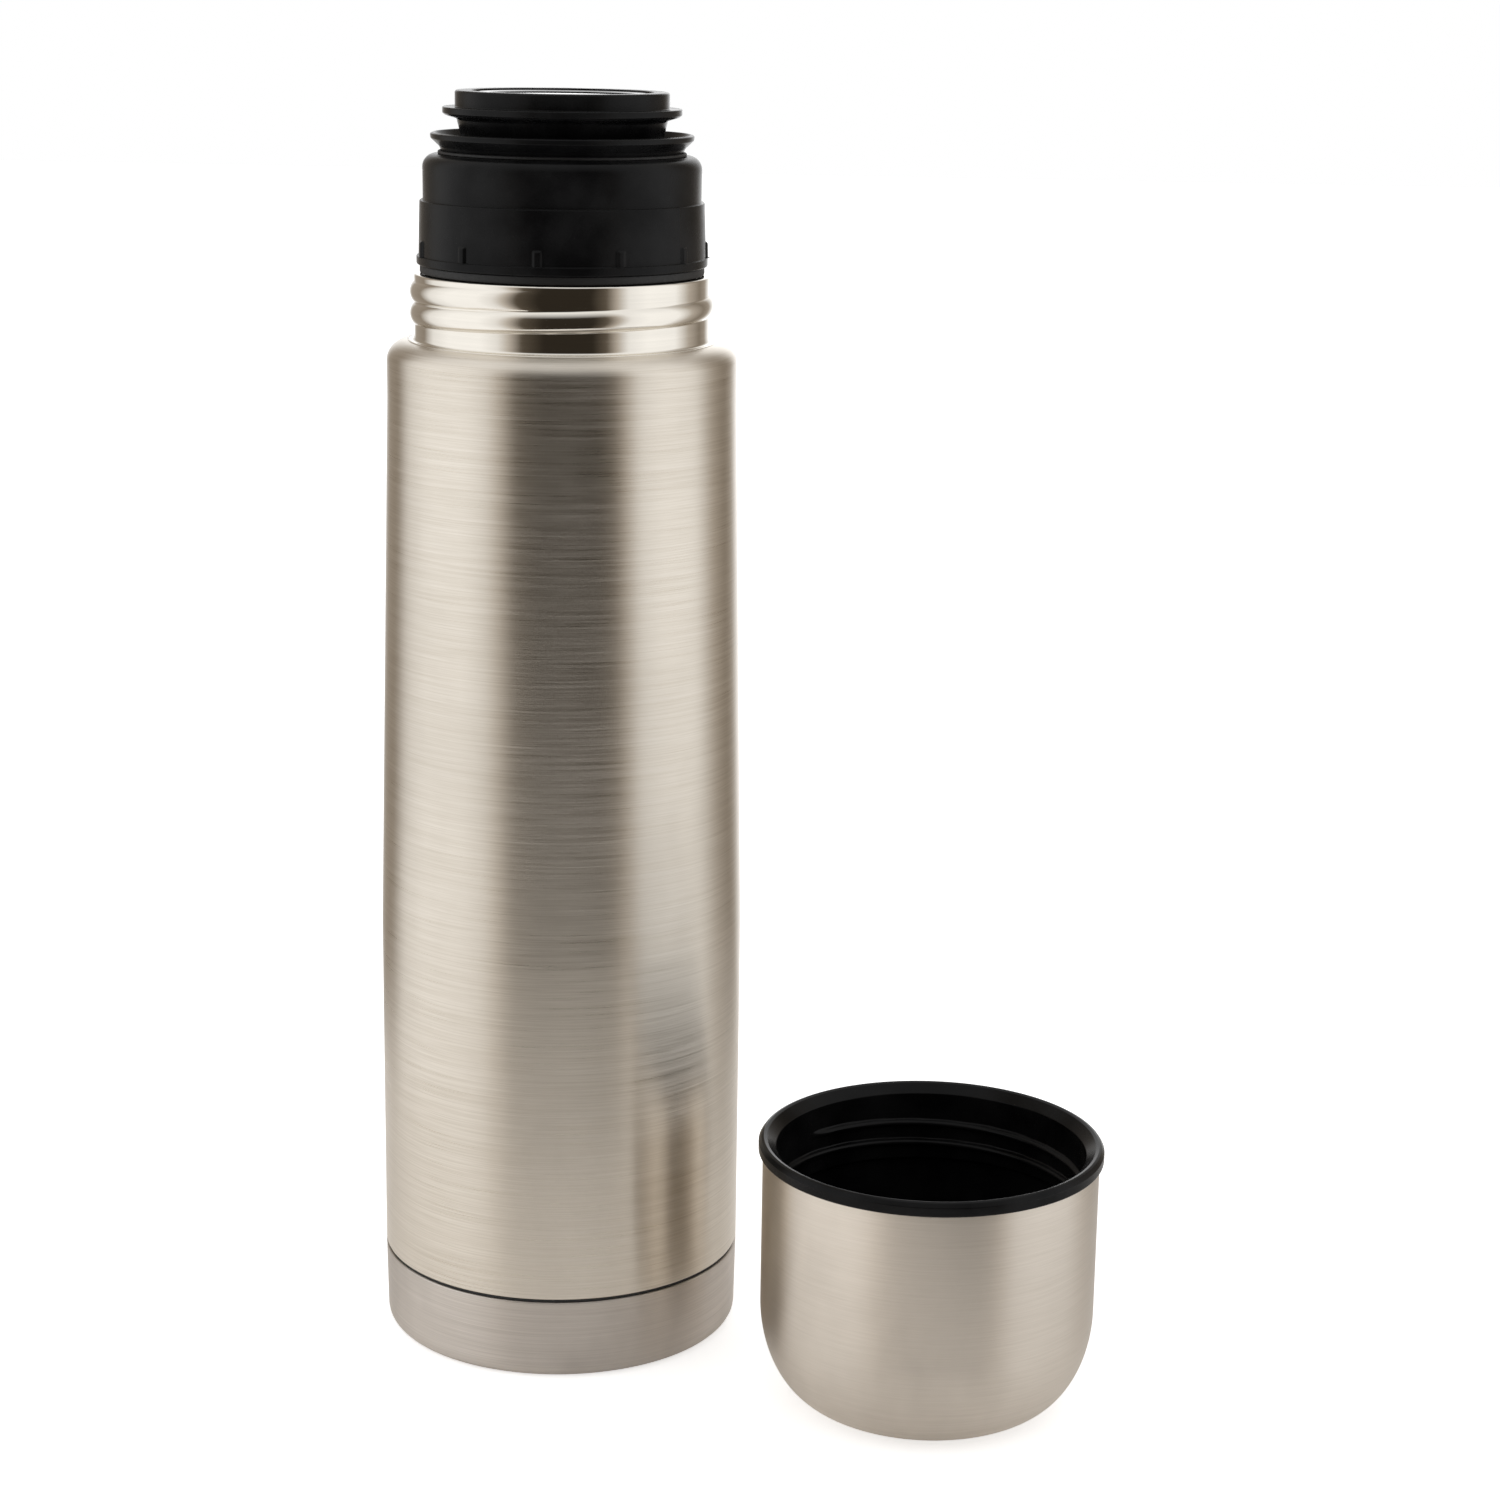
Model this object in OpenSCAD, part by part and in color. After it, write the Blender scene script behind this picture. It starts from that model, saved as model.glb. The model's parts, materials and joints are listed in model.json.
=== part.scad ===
// Vacuum flask: double-walled steel bottle, screw-in stopper with a push-button valve, drinking cup.
// Millimetres, +Z up. The origin is the centre of the flat foot of the base cup.

/* [Body] */
// Radius of the straight lower part of the body
body_r = 35; // [34.5:0.1:36]
// Radius of the body just under the shoulder
top_r = 32.8; // [32.5:0.1:33.2]
// Height at which the taper starts
taper_z = 82; // [60:1:110]
// Height of the lower edge of the shoulder curve
shoulder_z = 191.1; // [190.8:0.1:191.3]
// Thickness of the steel sheet
wall = 0.5; // [0.4:0.05:0.5]
// Width of the vacuum gap in the lower body
vacuum_gap = 3.3; // [3:0.1:3.6]

/* [Neck] */
// Height of the steel rim
rim_z = 207.2; // [207:0.1:207.2]
// Outside radius of the neck between the thread's ridges
neck_r = 27.6; // [27.5:0.05:27.7]
// Height of the neck thread's ridge
neck_ridge = 0.8; // [0.7:0.05:0.85]
// Inside radius of the mouth
mouth_r = 25.4; // [25.3:0.1:25.5]
// Rise of every thread in one turn
pitch = 4; // [3.9:0.1:4.1]

/* [Base cup] */
// Height of the base cup
base_h = 15.6; // [14:0.1:15.6]
// Radius of the edge round the foot
foot_edge = 2.2; // [1.8:0.1:2.4]

/* [Stopper] */
// Outside radius of the housing's flange
flange_r = 27.1; // [27:0.1:27.3]
// Height of the housing's flat top above the base
housing_top = 229; // [228.8:0.1:229.2]
// Number of grip ribs round the housing
rib_count = 11; // [8:1:16]
// Outside radius of the pour lip
lip_r = 24.4; // [24.2:0.1:24.6]

/* [Button] */
// Radius of the button's disc
button_r = 19.8; // [19.6:0.1:20]
// Radius of the button's thin flange
grip_r = 22.1; // [21.9:0.1:22.2]
// Height of the button's top above the base
button_top = 240.5; // [240.3:0.1:240.6]

/* [Cup] */
// Height of the drinking cup
cup_h = 51; // [50.8:0.1:52]
// Radius of the cup's steel wall
cup_r = 31.5; // [31.4:0.1:31.8]
// Radius of the plastic rim band
band_r = 32.3; // [32.2:0.1:32.6]
// Distance of the standing cup to the right of the flask
cup_x = 73.2; // [72:0.1:80]
// Distance of the standing cup in front of the flask
cup_y = 33.3; // [20:0.1:40]

/* [Hidden] */
$fn = 96;

// Fit allowances
skin = 0.05;        // gap between pieces that are joined
run = 0.06;         // radial clearance of the sliding stem
clear = 0.3;        // gap between pieces that move past each other
bite = 0.2;         // how deep a thread ridge is sunk into its wall

// Body and neck
step_r = body_r - 1.1;              // swaged skirt inside the base cup
step_z = 16.2;                      // underside of the body's brushed wall
shell_foot = 3;                     // lower end of the skirt
cone_z = 184;                       // top of the taper
shoulder_h = 3.8;                   // height of the shoulder's curve
shoulder_end = 0.8;                 // flat left between that curve and the neck
rim_round = 0.8;                    // rounding of the steel rim
neck_thread_z = rim_z - 9.2;        // lower end of the neck thread
neck_thread_turn = 25;              // angle at which the neck thread starts
neck_thread_width = 3.2;
neck_turns = 1.75;
lap_depth = 1.6;                    // depth of the rim's turned-in inner edge

// Inner vessel
neck_out = mouth_r + wall;
vessel_r = body_r - wall - vacuum_gap;
vessel_top_r = top_r - wall - vacuum_gap + 0.3;
vessel_foot = 9;
vessel_shoulder = 163;
seat_r = 22.4;                      // narrow end of the gasket seat
seat_low = 183.6;
seat_high = 187.4;
throat_r = 22;
throat_z = 181;
cap_rise = 3;                       // dish of the inner bottom
cap_z = vessel_foot + 0.4;          // underside of that dish, at its middle
getter_h = 1.4;
getter_r = 4;
strap = 0.3;                        // thickness of the getter's strap

// Threads inside the neck
ridge_in = 0.8;
inner_thread_z = 197.2;
inner_turns = 1.4;
plug_r = mouth_r - ridge_in - clear;
plug_thread_width = 1.5;
neck_inner_width = 1.9;               // width of the ridge inside the neck

// Stopper levels, at rest
flange_low = rim_z + 1.7;
flange_high = flange_low + 1.6;
rib_high = flange_high + 2.9;
ledge_z = 220.6;
rib_turn = 5;                       // angle of the first grip rib
lower_wall_r = 26.7;
upper_wall_r = 25.85;
housing_wall = 1.6;
corner = 3;
throat_top_r = 20.9;                // opening of the housing's top
nose_z = 183.2;                     // underside of the plug
plug_bore_r = 21.6;
groove_r = 21.2;
groove_low = 184.2;
groove_high = 187.6;
valve_hole_r = 8;
guide_z = 200;
guide_h = 4;
guide_r = 5;

// Valve and button
stem_r = 2;
stem_low = 177.6;
stem_high = 233.6;
clip_z = 178.4;
disc_z = 179.2;
disc_r = 10.6;
seal_z = 181.2;
seal_gap = 0.1;
seat_gap = 0.15;                    // gap of the neck gasket to its seat, level with it
grip_low = 235.7;
grip_high = 237.5;
recess_r = 16.7;
recess_depth = 0.9;
top_plate = 1.6;                    // thickness of the button's top
insert_h = 0.5;
skirt_low = 222;
skirt_r = 17.6;
skirt_wall = 1.6;
boss_r = 4.2;
boss_low = 219;

// Spring
spring_r = 5.6;
wire_r = 0.45;
coils = 9;
washer_h = 0.4;
spring_low = guide_z + guide_h + washer_h + wire_r;
spring_high = button_top - recess_depth - top_plate - skin - wire_r;

// Cup
dome_a = 11.8;                      // width of the rounded bottom corner
dome_b = 18.6;                      // height of that corner
band_h = 2.7;
liner_gap = 0.1;
liner_wall = 1.1;
liner_mouth_r = 28.9;
thread_zone = 15;
cup_thread_z = cup_h - 12.8;
cup_turns = 1.4;
cup_ridge = 1;                      // rise of the ridges in the cup's lining
cup_ridge_width = 1.4;

// Points along an elliptical arc, from angle a0 to a1
function arc(c, a, b, a0, a1, n = 6) =
    [for (i = [0:n]) let (t = a0 + (a1 - a0) * i / n) [c[0] + a * cos(t), c[1] + b * sin(t)]];

// A ring with a rectangular section
module ring(r_in, r_out, z_low, z_high) {
    translate([0, 0, z_low])
        difference() {
            cylinder(r = r_out, h = z_high - z_low);
            translate([0, 0, -1]) cylinder(r = r_in, h = z_high - z_low + 2);
        }
}

// A rounded helical ridge on a wall of radius r. It stands out when rise is positive, inwards when negative.
module thread_ridge(r, rise, width, z_low, turns, turn_start = 0, steps = 48, section = 4) {
    root = rise > 0 ? r - bite : r + bite;
    count = ceil(turns * steps);
    fade = 0.2;
    function swell(t) = max(0.12, min(1, t / fade, (turns - t) / fade));
    function point(i, j) = let (
            t = i * turns / count,
            turn = turn_start + 360 * t,
            v = j / section,
            out = root + (r + rise - root) * sin(180 * v) * swell(t),
            z = z_low + pitch * t + width * (v - 0.5))
        [out * cos(turn), out * sin(turn), z];
    size = section + 1;
    points = [for (i = [0:count]) for (j = [0:section]) point(i, j)];
    sides = [for (i = [0:count - 1]) for (j = [0:section])
        let (a = i * size + j, b = i * size + (j + 1) % size, c = a + size, d = b + size)
        each [[a, b, c], [b, d, c]]];
    caps = [[for (j = [0:section]) section - j], [for (j = [0:section]) count * size + j]];
    faces = concat(sides, caps);
    turned = [for (f = faces) [for (k = [len(f) - 1:-1:0]) f[k]]];
    polyhedron(points, rise < 0 ? turned : faces, convexity = 8);
}

// Double-walled bottle

module outer_shell() {
    shoulder_a = top_r - neck_r - shoulder_end;
    shoulder_top = shoulder_z + shoulder_h;
    curve = [top_r - shoulder_a, shoulder_z];
    outside = concat(
        [[step_r, shell_foot], [step_r, step_z - 0.6], [step_r + 0.3, step_z], [body_r - 0.3, step_z],
         [body_r, step_z + 0.3], [body_r, taper_z], [top_r, cone_z]],
        arc(curve, shoulder_a, shoulder_h, 0, 90, 10),
        [[neck_r + 0.3, shoulder_top + 0.1], [neck_r, shoulder_top + 0.5]],
        arc([neck_r - rim_round, rim_z - rim_round], rim_round, rim_round, 0, 90),
        [[neck_out + skin + 0.3, rim_z], [neck_out + skin, rim_z - 0.3]]);
    inside = concat([[neck_out + skin, rim_z - lap_depth], [neck_out + skin + wall, rim_z - lap_depth],
         [neck_out + skin + wall, rim_z - wall - 0.4], [neck_r - wall, rim_z - wall - 0.4],
         [neck_r - wall, shoulder_top], [neck_r + 0.3, shoulder_top - wall]],
        arc(curve, shoulder_a - wall, shoulder_h - wall, 90, 0, 8),
        [[top_r - wall, cone_z], [body_r - wall, taper_z],
         [body_r - wall, step_z + wall + 0.3], [step_r - wall, step_z + wall], [step_r - wall, shell_foot]]);
    color("silver") {
        rotate_extrude() polygon(concat(outside, inside));
        thread_ridge(neck_r, neck_ridge, neck_thread_width, neck_thread_z, neck_turns, neck_thread_turn);
    }
}

module inner_vessel() {
    outside = [[vessel_r, vessel_foot], [vessel_r, taper_z], [vessel_top_r, vessel_shoulder],
         [vessel_top_r - 1, vessel_shoulder + 5], [vessel_top_r - 3.4, vessel_shoulder + 11],
         [throat_r + wall, throat_z - 1.6], [throat_r + wall, throat_z],
         [seat_r + wall, seat_low - 0.3], [neck_out, seat_high], [neck_out, rim_z - 0.3]];
    inside = [[mouth_r, rim_z - 0.3], [mouth_r, seat_high + 0.2], [seat_r, seat_low],
         [throat_r, throat_z], [throat_r, throat_z - 1.8],
         [vessel_top_r - 3.9, vessel_shoulder + 10.6], [vessel_top_r - 1.5, vessel_shoulder + 4.8],
         [vessel_top_r - wall, vessel_shoulder], [vessel_r - wall, taper_z], [vessel_r - wall, vessel_foot]];
    color("gainsboro") {
        rotate_extrude() polygon(concat(outside, inside));
        thread_ridge(mouth_r, -ridge_in, neck_inner_width, inner_thread_z, inner_turns);
    }
}

// Half-profile of a shallow dish: the sheet rises from its middle to its edge, then turns up
module dish(r, z, rise, turn_up) {
    rotate_extrude()
        polygon([[0, z], [r * 0.5, z + rise * 0.2], [r - 2, z + rise], [r, z + rise + 1],
                 [r, z + rise + turn_up], [r - wall, z + rise + turn_up], [r - wall, z + rise + 1.2],
                 [r - 2.2, z + rise + wall], [r * 0.5, z + rise * 0.2 + wall], [0, z + wall]]);
}

module inner_bottom() {
    color("gainsboro") dish(vessel_r - wall - skin, cap_z, cap_rise, 3);
}

module outer_bottom() {
    r = step_r - wall - skin;
    color("darkgray") difference() {
        rotate_extrude()
            polygon([[0, 4.6], [3.6, 4.6], [5, 6], [r - 1.4, 6], [r - wall, 5.1], [r - wall, shell_foot],
                     [r, shell_foot], [r, 5.3], [r - 1.1, 6 + wall], [4.8, 6 + wall], [3.4, 4.6 + wall],
                     [0, 4.6 + wall]]);
        translate([0, 0, 4]) cylinder(r = 0.6, h = 2);
    }
}

module sealing_bead() {
    color("dimgray") intersection() {
        translate([0, 0, 4.6]) sphere(r = 2.4);
        translate([0, 0, 2.4]) cylinder(r = 3, h = 4.6 - 2.4 - skin);
    }
}

module getter() {
    color("slategray") translate([0, 0, cap_z - skin - getter_h]) cylinder(r = getter_r, h = getter_h);
}

module getter_clip() {
    clip_low = cap_z - 2 * skin - getter_h - strap;
    color("lightgray") difference() {
        translate([-getter_r - 2, -1.5, clip_low]) cube([2 * getter_r + 4, 3, getter_h + strap]);
        translate([0, 0, clip_low + strap]) cylinder(r = getter_r + skin, h = getter_h + 1);
    }
}

module foil_wrap() {
    foil = 0.15;
    gap = 0.2;
    z_low = 24;
    z_high = vessel_shoulder - 3;
    function shield_r(z) = gap + (z < taper_z ? vessel_r :
        vessel_r + (vessel_top_r - vessel_r) * (z - taper_z) / (vessel_shoulder - taper_z));
    color("peru") rotate_extrude()
        polygon([[shield_r(z_low), z_low], [shield_r(z_low) + foil, z_low],
                 [shield_r(taper_z) + foil, taper_z], [shield_r(z_high) + foil, z_high],
                 [shield_r(z_high), z_high], [shield_r(taper_z), taper_z]]);
}

module base_cup() {
    foot_r = body_r - 0.3;
    outside = concat([[0, 0]], arc([foot_r - foot_edge, foot_edge], foot_edge, foot_edge, -90, 0),
        [[body_r, base_h - 0.2], [body_r - 0.2, base_h], [body_r - wall, base_h]]);
    inside = concat([[foot_r - wall, foot_edge]],
        arc([foot_r - foot_edge, foot_edge], foot_edge - wall, foot_edge - wall, 0, -90), [[0, wall]]);
    color("silver") rotate_extrude() polygon(concat(outside, inside));
}

module base_seam_ring() {
    leg_r = body_r - wall - skin;
    color("black") rotate_extrude()
        polygon([[step_r + skin, 12.2], [step_r + 0.35, 12.2], [leg_r - 0.1, base_h + skin],
                 [body_r - 0.35, base_h + skin], [body_r - 0.35, step_z - skin],
                 [step_r + 0.35, step_z - skin], [step_r + skin, step_z - 0.6]]);
}

// Stopper

module stopper_housing() {
    outside = concat(
        [[flange_r - 0.3, flange_low], [flange_r, flange_low + 0.3], [flange_r, flange_high - 0.3],
         [flange_r - 0.3, flange_high], [lower_wall_r + 0.05, flange_high],
         [lower_wall_r - 0.25, ledge_z - 0.2], [lower_wall_r - 0.45, ledge_z], [upper_wall_r, ledge_z]],
        arc([upper_wall_r - corner, housing_top - corner], corner, corner, 0, 90),
        [[throat_top_r + 0.3, housing_top], [throat_top_r, housing_top - 0.3]]);
    inside = [[throat_top_r, housing_top - housing_wall],
         [upper_wall_r - housing_wall - 1.2, housing_top - housing_wall],
         [upper_wall_r - housing_wall, housing_top - corner - 0.2],
         [upper_wall_r - housing_wall, flange_high + 1], [flange_r - 1.9, flange_high + 1],
         [flange_r - 1.9, flange_low]];
    color([0.06, 0.06, 0.06]) {
        rotate_extrude() polygon(concat(outside, inside));
        for (i = [0:rib_count - 1])
            rotate([0, 0, i * 360 / rib_count + rib_turn])
                translate([lower_wall_r - 1, -0.8, flange_high - 0.2])
                    cube([1.4, 1.6, rib_high - flange_high + 0.2]);
    }
}

module stopper_plug() {
    collar_r = flange_r - 1.9 - skin;
    outside = [[valve_hole_r, nose_z], [valve_hole_r + 3.4, nose_z], [valve_hole_r + 4.4, nose_z + 0.6],
         [groove_r + 0.6, nose_z + 0.6], [groove_r + 0.6, groove_low], [groove_r, groove_low],
         [groove_r, groove_high], [plug_r - 0.6, groove_high], [plug_r, groove_high + 0.6],
         [plug_r, flange_low], [collar_r, flange_low], [collar_r, flange_high + 0.9]];
    inside = [[plug_bore_r, flange_high + 0.9], [plug_bore_r, groove_high + 1],
         [groove_r - 1.6, groove_high - 0.4], [groove_r - 1.6, nose_z + 2.2], [valve_hole_r, nose_z + 2.2]];
    color([0.1, 0.1, 0.1]) {
        difference() {
            union() {
                rotate_extrude() polygon(concat(outside, inside));
                translate([0, 0, guide_z]) cylinder(r = guide_r, h = guide_h);
                for (i = [0:2])
                    rotate([0, 0, i * 120 + 60])
                        translate([guide_r - 0.5, -0.8, guide_z])
                            cube([plug_bore_r - guide_r + 0.8, 1.6, guide_h]);
            }
            translate([0, 0, guide_z - 1]) cylinder(r = stem_r + run, h = guide_h + 2);
            translate([0, 0, guide_z + 1.4]) cylinder(r = 3.5, h = 1.2);
        }
        thread_ridge(plug_r, ridge_in, plug_thread_width, inner_thread_z - pitch / 2, inner_turns);
    }
}

module pour_lip() {
    root_z = housing_top + skin;
    outside = [[throat_top_r + 1, root_z], [22.2, root_z], [22.7, root_z + 1.3], [lip_r - 0.3, root_z + 2.7],
         [lip_r, root_z + 3.1], [lip_r - 0.1, root_z + 3.6], [lip_r - 0.7, root_z + 3.9]];
    spigot = [[throat_top_r - skin, root_z], [throat_top_r - skin, root_z - 3.4],
         [throat_top_r - 1.2, root_z - 3.4], [throat_top_r - 1.2, root_z + 0.9],
         [throat_top_r + 0.8, root_z + 1.5], [22.5, root_z + 2.3], [lip_r - 1.2, root_z + 3.5]];
    color([0.05, 0.05, 0.05]) rotate_extrude()
        polygon(concat(outside, [for (i = [len(spigot) - 1:-1:0]) spigot[i]]));
}

module lip_ring() {
    color([0.05, 0.05, 0.05]) rotate_extrude()
        polygon([[22.3, housing_top + skin], [22.9, housing_top + skin], [23, housing_top + 0.5],
                 [22.75, housing_top + 0.7], [22.5, housing_top + 0.7]]);
}

module rim_seal() {
    color("black") ring(plug_r + skin, 26.5, rim_z + seal_gap, flange_low - skin);
}

module neck_gasket() {
    low = groove_low + 0.1;
    high = groove_high - 0.3;
    slope = (mouth_r - seat_r) / (seat_high + 0.2 - seat_low);
    function face_r(z) = seat_r + slope * (z - seat_low) - seat_gap;
    color("dimgray") rotate_extrude()
        polygon([[groove_r + run, low], [face_r(low), low], [face_r(high - 1), high - 1],
                 [face_r(high - 1), high], [groove_r + run, high]]);
}

// Button and valve

module push_button() {
    cone_low_r = 18.3;
    outside = [[skirt_r - 0.3, skirt_low], [skirt_r, skirt_low + 0.3], [skirt_r, 229], [cone_low_r, 230.5],
         [19.5, grip_low - 0.3], [grip_r - 0.2, grip_low + 0.4], [grip_r, grip_low + 0.7],
         [grip_r, grip_high - 0.2], [grip_r - 0.2, grip_high], [button_r, grip_high],
         [button_r, button_top - 0.5], [button_r - 0.5, button_top],
         [recess_r, button_top], [recess_r, button_top - recess_depth], [0, button_top - recess_depth]];
    plate_low = button_top - recess_depth - top_plate;
    inside = [[0, plate_low], [skirt_r - skirt_wall, plate_low], [skirt_r - skirt_wall, skirt_low]];
    color([0.05, 0.05, 0.05]) {
        rotate_extrude() polygon(concat(outside, inside));
        difference() {
            translate([0, 0, boss_low]) cylinder(r = boss_r, h = button_top - recess_depth - 1 - boss_low);
            translate([0, 0, boss_low - 1]) cylinder(r = stem_r + skin, h = stem_high - boss_low + 1 + skin);
        }
    }
}

module button_insert() {
    color([0.3, 0.3, 0.32]) translate([0, 0, button_top - recess_depth + skin])
        cylinder(r = recess_r - skin, h = insert_h);
}

module valve_stem() {
    color("silver") difference() {
        translate([0, 0, stem_low]) cylinder(r = stem_r, h = stem_high - stem_low);
        ring(stem_r - 0.5, stem_r + 1, clip_z - skin, clip_z + 0.6 + skin);
    }
}

module valve_disc() {
    color([0.1, 0.1, 0.1]) rotate_extrude()
        polygon([[stem_r + skin, disc_z], [4.4, disc_z], [disc_r, disc_z + 1.4], [disc_r, seal_z - skin],
                 [6, seal_z - skin], [6, seal_z + 1.2], [stem_r + skin, seal_z + 1.2]]);
}

module valve_seal() {
    color("dimgray") rotate_extrude()
        polygon([[6 + skin, seal_z], [disc_r - 0.2, seal_z], [disc_r - 0.2, seal_z + 1],
                 [9.6, nose_z - seal_gap], [8.8, nose_z - seal_gap], [7.6, seal_z + 1],
                 [6 + skin, seal_z + 1]]);
}

module stem_clip() {
    color("silver") difference() {
        ring(stem_r - 0.5 + skin, 3.6, clip_z, clip_z + 0.6);
        translate([0, -0.8, clip_z - 1]) cube([6, 1.6, 3]);
    }
}

module return_spring() {
    sides = 6;
    per_turn = 20;
    closed = 1;                    // flattened turns at each end
    count = coils * per_turn;
    travel = spring_high - spring_low;
    function level(t) = let (u = max(0, min(1, (t - closed) / (coils - 2 * closed))))
        (t < closed ? t : t > coils - closed ? t - coils + closed + closed : closed) * wire_r * 2.1
        + u * (travel - 2 * closed * wire_r * 2.1);
    points = [for (i = [0:count]) let (t = i / per_turn) for (j = [0:sides - 1])
        let (a = 360 * j / sides, r = spring_r + wire_r * cos(a))
        [r * cos(360 * t), r * sin(360 * t), spring_low + level(t) + wire_r * sin(a)]];
    faces = concat(
        [for (i = [0:count - 1]) for (j = [0:sides - 1])
            let (a = i * sides + j, b = i * sides + (j + 1) % sides)
            each [[a, a + sides, b], [b, a + sides, b + sides]]],
        [[for (j = [0:sides - 1]) j], [for (j = [sides - 1:-1:0]) count * sides + j]]);
    color("lightsteelblue") polyhedron(points, faces, convexity = 10);
}

module spring_washer() {
    color("silver") ring(3.6, 6.6, guide_z + guide_h + skin, guide_z + guide_h + washer_h - skin);
}

module latch_ring() {
    color("silver") difference() {
        ring(stem_r + 0.3, 3.3, guide_z + 1.6, guide_z + 2.4);
        translate([0, -0.6, guide_z]) cube([5, 1.2, 4]);
    }
}

// Drinking cup, standing with its mouth up

module stand_cup() {
    translate([cup_x, -cup_y, 0]) children();
}

module cup_shell() {
    c = [cup_r - dome_a, dome_b];
    outside = concat([[0, 0]], arc(c, dome_a, dome_b, -90, 0, 12), [[cup_r, cup_h - band_h - skin]]);
    inside = concat([[cup_r - wall, cup_h - band_h - skin]],
        arc(c, dome_a - wall, dome_b - wall, 0, -90, 12), [[0, wall]]);
    color("silver") stand_cup() rotate_extrude() polygon(concat(outside, inside));
}

module cup_liner() {
    c = [cup_r - dome_a, dome_b];
    gap = wall + liner_gap;
    skin_in = gap + liner_wall;
    band_low = cup_h - band_h;
    outside = concat([[0, gap]], arc(c, dome_a - gap, dome_b - gap, -90, 0, 12),
        [[cup_r - gap, band_low], [band_r - 0.3, band_low], [band_r, band_low + 0.4], [band_r, cup_h - 1],
         [band_r - 0.5, cup_h - 0.2], [band_r - 1, cup_h]]);
    inside = concat([[band_r - 1.6, cup_h - 0.2], [liner_mouth_r, cup_h - 1.8],
         [liner_mouth_r, cup_h - thread_zone], [cup_r - skin_in, cup_h - thread_zone - 0.8]],
        arc(c, dome_a - skin_in, dome_b - skin_in, 0, -90, 12), [[0, skin_in]]);
    color([0.06, 0.06, 0.06]) stand_cup() {
        rotate_extrude() polygon(concat(outside, inside));
        thread_ridge(liner_mouth_r, -cup_ridge, cup_ridge_width, cup_thread_z, cup_turns);
    }
}

outer_shell();
inner_vessel();
inner_bottom();
outer_bottom();
sealing_bead();
getter();
getter_clip();
foil_wrap();
base_cup();
base_seam_ring();
stopper_housing();
stopper_plug();
pour_lip();
lip_ring();
rim_seal();
neck_gasket();
push_button();
button_insert();
valve_stem();
valve_disc();
valve_seal();
stem_clip();
return_spring();
spring_washer();
latch_ring();
cup_shell();
cup_liner();
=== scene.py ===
"""The vacuum flask's looks: fine lathed shells, brushed steel, moulded black plastic, studio light."""

import json
import math

import bmesh
import bpy
import numpy as np
from mathutils import Matrix, Vector


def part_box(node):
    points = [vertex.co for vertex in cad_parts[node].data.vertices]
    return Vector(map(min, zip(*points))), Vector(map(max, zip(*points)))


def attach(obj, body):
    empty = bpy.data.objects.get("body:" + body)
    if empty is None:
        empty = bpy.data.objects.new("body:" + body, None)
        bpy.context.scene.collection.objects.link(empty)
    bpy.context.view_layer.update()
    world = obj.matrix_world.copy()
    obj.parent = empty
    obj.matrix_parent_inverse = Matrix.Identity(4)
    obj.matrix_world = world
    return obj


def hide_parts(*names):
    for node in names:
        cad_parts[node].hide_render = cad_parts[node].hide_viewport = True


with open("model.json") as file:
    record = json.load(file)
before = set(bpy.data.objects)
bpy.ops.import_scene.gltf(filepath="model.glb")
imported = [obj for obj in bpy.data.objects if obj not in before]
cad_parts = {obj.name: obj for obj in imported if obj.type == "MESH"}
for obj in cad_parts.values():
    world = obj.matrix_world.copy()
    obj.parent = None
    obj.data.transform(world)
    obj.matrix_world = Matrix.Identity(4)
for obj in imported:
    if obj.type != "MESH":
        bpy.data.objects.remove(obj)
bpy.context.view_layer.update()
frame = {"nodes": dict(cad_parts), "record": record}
MM = 0.001
SEGMENTS = 288
SAME = 1e-6
STRAIGHT = math.radians(89)
THREAD_PITCH = 4.0


# ---------------------------------------------------------------- camera

LENS = 73.8384
SENSOR = 36.0
CLIP_START, CLIP_END = 0.01, 20
CAMERA_MM = (65.5, -576.2, 258.4)
YAW, PITCH, ROLL = (math.radians(a) for a in (-2.888, 13.81, 0.893))


def make_camera():
    """The camera in front of the flask and a little above it, with its level line slightly rolled."""
    ahead = Vector((math.sin(YAW) * math.cos(PITCH), math.cos(YAW) * math.cos(PITCH),
                    -math.sin(PITCH)))
    level = Vector((math.cos(YAW), -math.sin(YAW), 0))
    over = level.cross(ahead)
    right = level * math.cos(ROLL) + over * math.sin(ROLL)
    up = right.cross(ahead)
    data = bpy.data.cameras.new("camera")
    data.sensor_width = SENSOR
    data.lens = LENS
    data.clip_start, data.clip_end = CLIP_START, CLIP_END
    cam = bpy.data.objects.new("camera", data)
    turn = Matrix((right, up, -ahead)).transposed().to_4x4()
    cam.matrix_world = Matrix.Translation(Vector(CAMERA_MM) * MM) @ turn
    bpy.context.scene.collection.objects.link(cam)
    bpy.context.scene.camera = cam


make_camera()


# ---------------------------------------------------------------- outlines and lathing


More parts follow.
